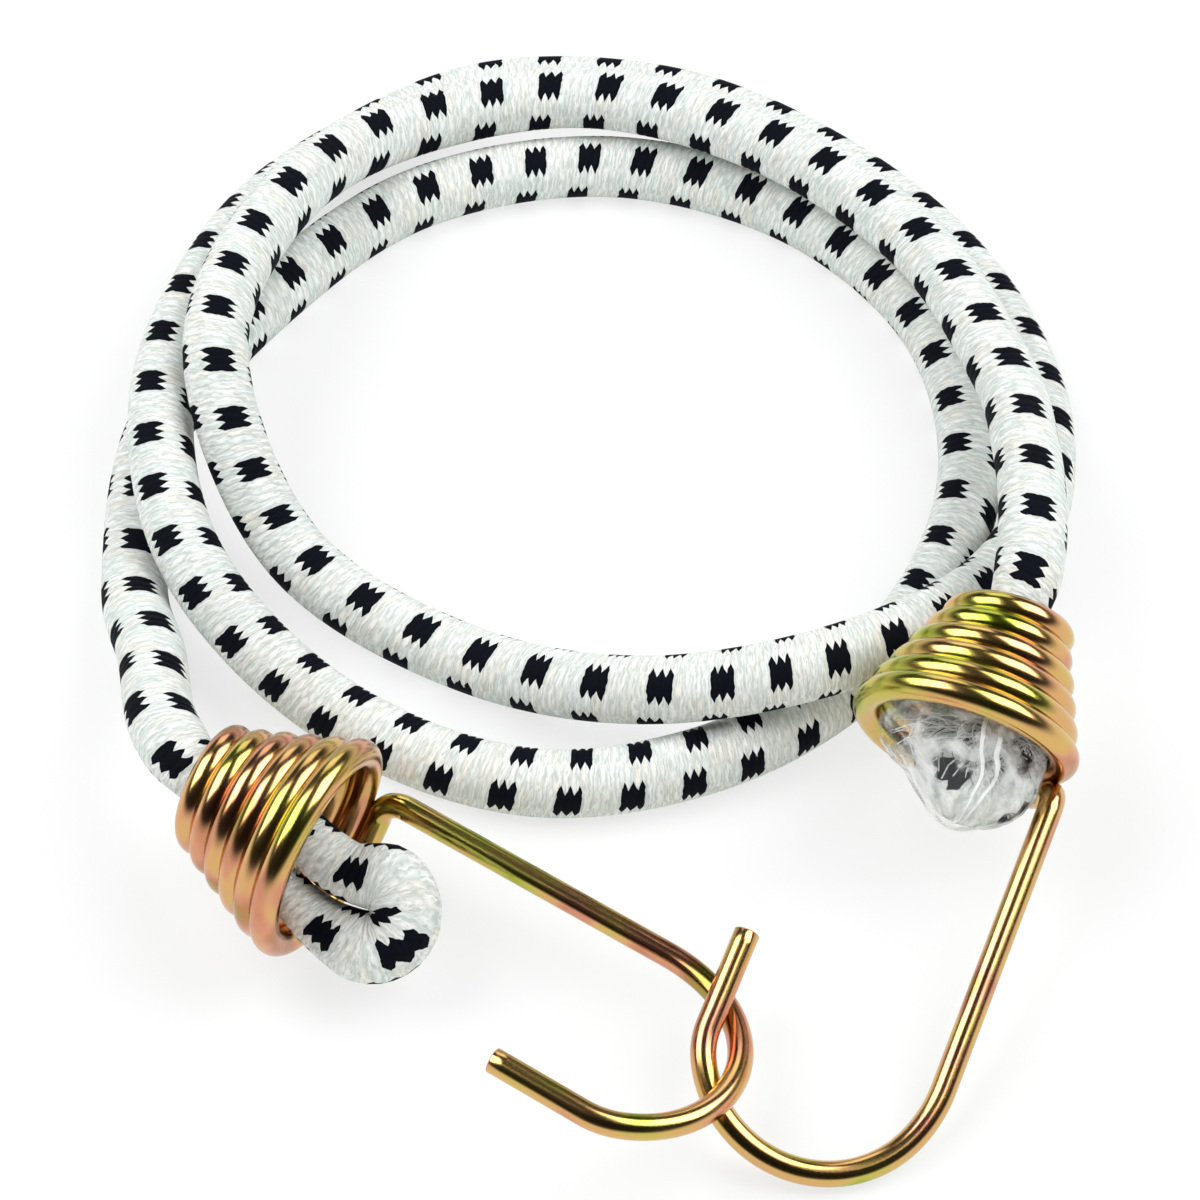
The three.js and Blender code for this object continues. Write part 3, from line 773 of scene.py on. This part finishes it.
def wrinkles(run, angles, seed, height):
    """Creases of film: a sum of |sin(m a + q s + p)|^3 with seeded slopes m and q and phases p."""
    rng = np.random.default_rng(seed)
    total = np.zeros((len(run), len(angles)))
    for _ in range(9):
        m, q, p = rng.integers(1, 6), rng.uniform(-1.1, 1.1), rng.uniform(0, 6.3)
        total += np.abs(np.sin(m * angles[None] + q * run[:, None] + p)) ** 3
    return height * total / total.max()


def clear_of_cord(points, gap):
    """Points of the row's frame pushed straight out from the cord's line to radius plus gap."""
    line, radii, run = cord_line(CORD_STEP)
    near = run > run[-1] - FOLD_LENGTH
    line, radii = line[near], radii[near]
    flat = points.reshape(-1, 3)
    apart = np.linalg.norm(flat[:, None] - line[None], axis=2) - radii[None]
    nearest = apart.argmin(1)
    out = unit(flat - line[nearest])
    short = np.clip(gap - apart.min(1), 0, None)[:, None]
    return (flat + out * short).reshape(points.shape)


def film_section(along):
    """The film's middle across, half width and half depth at each distance along the hook."""
    knots = through_points(FILM_SECTIONS, steps=8)
    low, high, depth = (np.interp(along, knots[:, 0], knots[:, k]) for k in (1, 2, 3))
    return (low + high) / 2, (high - low) / 2, depth


class BUNGEE_OT_end_tape(bpy.types.Operator):
    """Adds the clear film round each cut end"""
    bl_idname = "bungee.end_tape"
    bl_label = "Add End Tape"

    @staticmethod
    def left_band(material):
        """A plain wrinkled band round the hidden cut end: the cord's radius plus its wrinkles."""
        line, radii, run = cord_line(step=0.4)
        side, upright = level_frames(line)
        sides, clearance, crease_span = 48, 0.15, 12
        angles = ring_angles(sides)
        reach = run < TAPE_WIDTH
        at = run[reach]
        outside = radii[reach][:, None] + (clearance + wrinkles(at, angles, seed=3, height=0.2))
        points = tube_points(line[reach], side[reach], upright[reach], outside, angles)
        around, along = np.meshgrid(np.arange(sides + 1) / sides, at / crease_span)
        return new_piece("clear_tape_left", points, [round_faces(len(at), sides)], material,
                         corner_uv(around, along))

    @staticmethod
    def right_wrap(material):
        """The crumpled film: ellipses along the hook, creased, with ridges and a flat face.

        A point is (x, middle + f half cos a, f depth sin a). f is 1.02, less the creases, plus
        narrow bell-shaped ridges, and follows a chord where the face is flat.
        """
        steps, sides = 90, 160
        places = np.arange(len(FILM_SECTIONS))
        along = np.interp(np.linspace(0, places[-1], steps), places,
                          [section[0] for section in FILM_SECTIONS])
        middle, half, depth = (value[:, None] for value in film_section(along))
        angles = ring_angles(sides)
        creases = wrinkles(along, angles, seed=11, height=0.13)
        fine_creases = wrinkles(along * 2.6, angles * 3, seed=5, height=0.045)
        size = 1.02 - creases - fine_creases
        # The ridges lean a little round the film
        lean = 0.012 * (along[:, None] - 4)
        for ridge, height in FILM_RIDGES:
            off = angles - ridge + lean
            size += height * np.exp(-(off / FILM_RIDGE_WIDTH) ** 2)
        face, reach = FILM_FACE
        size *= np.where(np.abs(angles - face) < reach, np.cos(reach) / np.cos(angles - face), 1)
        local = np.stack(np.broadcast_arrays(
            along[:, None], middle + size * half * np.cos(angles),
            size * depth * np.sin(angles)), 2)
        points = clear_of_cord(placed(local, hook_pose(*RIGHT_HOOK)), FILM_GAP)
        tip = (steps - 1) * sides + np.arange(sides)
        around, down = np.meshgrid(np.arange(sides + 1) / sides, np.linspace(0, 1, steps))
        return new_piece("clear_film_right", points, [round_faces(steps, sides), [tip]], material,
                         corner_uv(around, down))

    def execute(self, context):
        material = clear_tape_material()
        for film, node in ((self.left_band(material), "left_end_tape"),
                           (self.right_wrap(material), "right_end_tape")):
            thick = film.modifiers.new("film", "SOLIDIFY")
            thick.thickness = FILM_THICKNESS * MM
            thick.offset = 1
            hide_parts(node)
            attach(film, "cord")
        return {"FINISHED"}


class BUNGEE_OT_loose_yarn(bpy.types.Operator):
    """Adds the frayed yarn at the right cut end, spread out under the film"""
    bl_idname = "bungee.loose_yarn"
    bl_label = "Add Loose Yarn"

    @staticmethod
    def strands(name, count, seed, material):
        """Thin, tapered strands that start on the cut end and stay inside the film.

        Each is the curve (1-t)^3 p0 + 3 t (1-t)^2 p1 + 3 t^2 (1-t) p2 + t^3 p3, with p0 on the
        cut end and the others drawn from boxes in the hook's own frame.
        """
        rng = np.random.default_rng(seed)
        steps, sides = 16, 5
        cut_radius, inside = 2.9, 0.84
        spin = rng.uniform(0, 2 * np.pi, count)
        reach = cut_radius * np.sqrt(rng.uniform(0, 1, count))
        end = np.array(RIGHT_TAIL[-1][:3])
        p0 = end + np.stack((np.zeros(count), reach * np.cos(spin), reach * np.sin(spin)), 1)
        p1 = p0 + rng.uniform((-3.2, -3.0, 0.5), (-1.5, 0.5, 3.5), (count, 3))
        p2 = rng.uniform((-2.0, -7.0, 3.0), (2.0, 6.0, 7.0), (count, 3))
        p3 = rng.uniform((0.5, -8.5, 0.5), (6.5, 7.0, 6.0), (count, 3))
        t = np.linspace(0, 1, steps)[:, None, None]
        local = (1 - t)**3 * p0 + 3 * t * (1 - t)**2 * p1 + 3 * t**2 * (1 - t) * p2 + t**3 * p3
        middle, half, depth = film_section(local[..., 0])
        outside = np.hypot((local[..., 1] - middle) / half, local[..., 2] / depth)
        drawn_in = np.minimum(1, inside / outside)
        local[..., 1] = middle + (local[..., 1] - middle) * drawn_in
        local[..., 2] *= drawn_in
        places = clear_of_cord(placed(local, hook_pose(*RIGHT_HOOK)), YARN_GAP)
        angles = ring_angles(sides)
        points, faces = [], []
        for k in range(count):
            side, upright = level_frames(places[:, k])
            taper = rng.uniform(0.07, 0.13) * (1 - 0.4 * t[:, 0, 0])
            points.append(tube_points(places[:, k], side, upright, taper, angles).reshape(-1, 3))
            faces += closed_faces(steps, sides, k * steps * sides)
        yarn = new_piece(name, np.concatenate(points), faces, material)
        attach(yarn, "cord")

    def execute(self, context):
        settings = context.scene.bungee_cord
        self.strands("loose_white_yarn_right", settings.loose_strands, 5,
                     loose_yarn_material("loose_white_polyester", settings.cover_colour, "cfd3d0"))
        self.strands("loose_black_yarn_right", settings.loose_strands // 6, 8,
                     loose_yarn_material("loose_black_polyester", settings.check_colour, "23262e"))
        return {"FINISHED"}


class BUNGEE_OT_stage(bpy.types.Operator):
    """Adds the pale ground, the soft lamps and the light from all round"""
    bl_idname = "bungee.stage"
    bl_label = "Add Stage"

    def execute(self, context):
        settings = context.scene.bungee_stage
        material, tree, shader = new_material("matte_white_ground", Roughness=0.9)
        shader.inputs["Base Color"].default_value = linear("eef2ef")
        # Seen straight, in metal or through film, the ground is mostly plain white
        path = add_node(tree, "LightPath").node.outputs
        seen = path["Is Camera Ray"]
        for ray in ("Is Glossy Ray", "Is Transmission Ray"):
            seen = add_node(tree, "Math MAXIMUM", seen, path[ray])
        share = add_node(tree, "Math MULTIPLY", seen, 1 - settings.shadow_share)
        plain = add_node(tree, "Emission", (1, 1, 1, 1), 1.0)
        mixed = add_node(tree, "MixShader", share, shader.outputs[0], plain)
        tree.links.new(mixed, tree.nodes["Material Output"].inputs["Surface"])
        reach, under = 3000, -0.05
        ground = new_piece("ground", [(-reach, -reach, under), (reach, -reach, under),
                                      (reach, reach, under), (-reach, reach, under)],
                           [np.array([(0, 1, 2, 3)])], material)
        # Two softboxes side by side overhead, a dark gap between them, a weak one at the back and
        # a fill from the front that the metal doesn't mirror
        for name, place, size, power, mirrored in (
                ("left_softbox", (-0.48, 0.16, 0.6), 0.6, settings.box_power, True),
                ("right_softbox", (0.48, 0.16, 0.6), 0.6, settings.box_power, True),
                ("back_softbox", (0.0, 0.95, 0.5), 0.5, settings.box_power * 0.22, True),
                ("front_fill", (0.1, -0.75, 0.34), 0.6, settings.box_power * 0.46, False)):
            data = bpy.data.lights.new(name, "AREA")
            data.shape = "SQUARE"
            data.size = size
            data.energy = power
            lamp = bpy.data.objects.new(name, data)
            lamp.location = place
            lamp.visible_glossy = mirrored
            aim = Vector((0, 0.05, 0)) - Vector(place)
            lamp.rotation_euler = aim.to_track_quat("-Z", "Y").to_euler()
            context.scene.collection.objects.link(lamp)
        world = bpy.data.worlds.new("studio")
        world.use_nodes = True
        tree = world.node_tree
        walls = tree.nodes["Background"]
        direction = add_node(tree, "TexCoord").node.outputs["Generated"]
        height = add_node(tree, "SeparateXYZ", direction).node.outputs[2]
        ramp = add_node(tree, "ValToRGB", height, stops=(
            (0.05, (0.95, 1.0, 0.97, 1)), (0.22, (0.014, 0.015, 0.016, 1))))
        tree.links.new(ramp, walls.inputs[0])
        walls.inputs[1].default_value = settings.world_strength
        # The backdrop itself is plain white
        seen = add_node(tree, "LightPath").node.outputs["Is Camera Ray"]
        plain = add_node(tree, "Background", (1, 1, 1, 1), 1.0)
        mixed = add_node(tree, "MixShader", seen, walls.outputs[0], plain)
        tree.links.new(mixed, tree.nodes["World Output"].inputs["Surface"])
        context.scene.world = world
        context.scene.view_settings.view_transform = "Standard"
        return {"FINISHED"}


class BUNGEE_PT_panel(bpy.types.Panel):
    """Lists the pieces of the bungee cord"""
    bl_idname = "BUNGEE_PT_panel"
    bl_label = "Bungee Cord"
    bl_space_type = "VIEW_3D"
    bl_region_type = "UI"
    bl_category = "Bungee Cord"

    def draw(self, context):
        for settings in SETTINGS:
            group = getattr(context.scene, settings)
            for name in group.__annotations__:
                self.layout.prop(group, name)
        for operator in OPERATORS:
            self.layout.operator(operator.bl_idname)


SETTINGS = {
    "bungee_cord": CordSettings, "bungee_hooks": HookSettings, "bungee_stage": StageSettings,
}
OPERATORS = (
    BUNGEE_OT_camera, BUNGEE_OT_woven_cord, BUNGEE_OT_wire_hooks, BUNGEE_OT_end_tape,
    BUNGEE_OT_loose_yarn, BUNGEE_OT_stage,
)


def register():
    for each in (*SETTINGS.values(), *OPERATORS, BUNGEE_PT_panel):
        bpy.utils.register_class(each)
    for name, group in SETTINGS.items():
        setattr(bpy.types.Scene, name, PointerProperty(type=group))


def unregister():
    for name in SETTINGS:
        delattr(bpy.types.Scene, name)
    for each in (BUNGEE_PT_panel, *reversed(OPERATORS), *reversed(SETTINGS.values())):
        bpy.utils.unregister_class(each)


def main():
    register()
    bpy.ops.bungee.camera()
    bpy.ops.bungee.woven_cord()
    bpy.ops.bungee.wire_hooks()
    bpy.ops.bungee.end_tape()
    bpy.ops.bungee.loose_yarn()
    bpy.ops.bungee.stage()


if __name__ == "__main__":
    main()
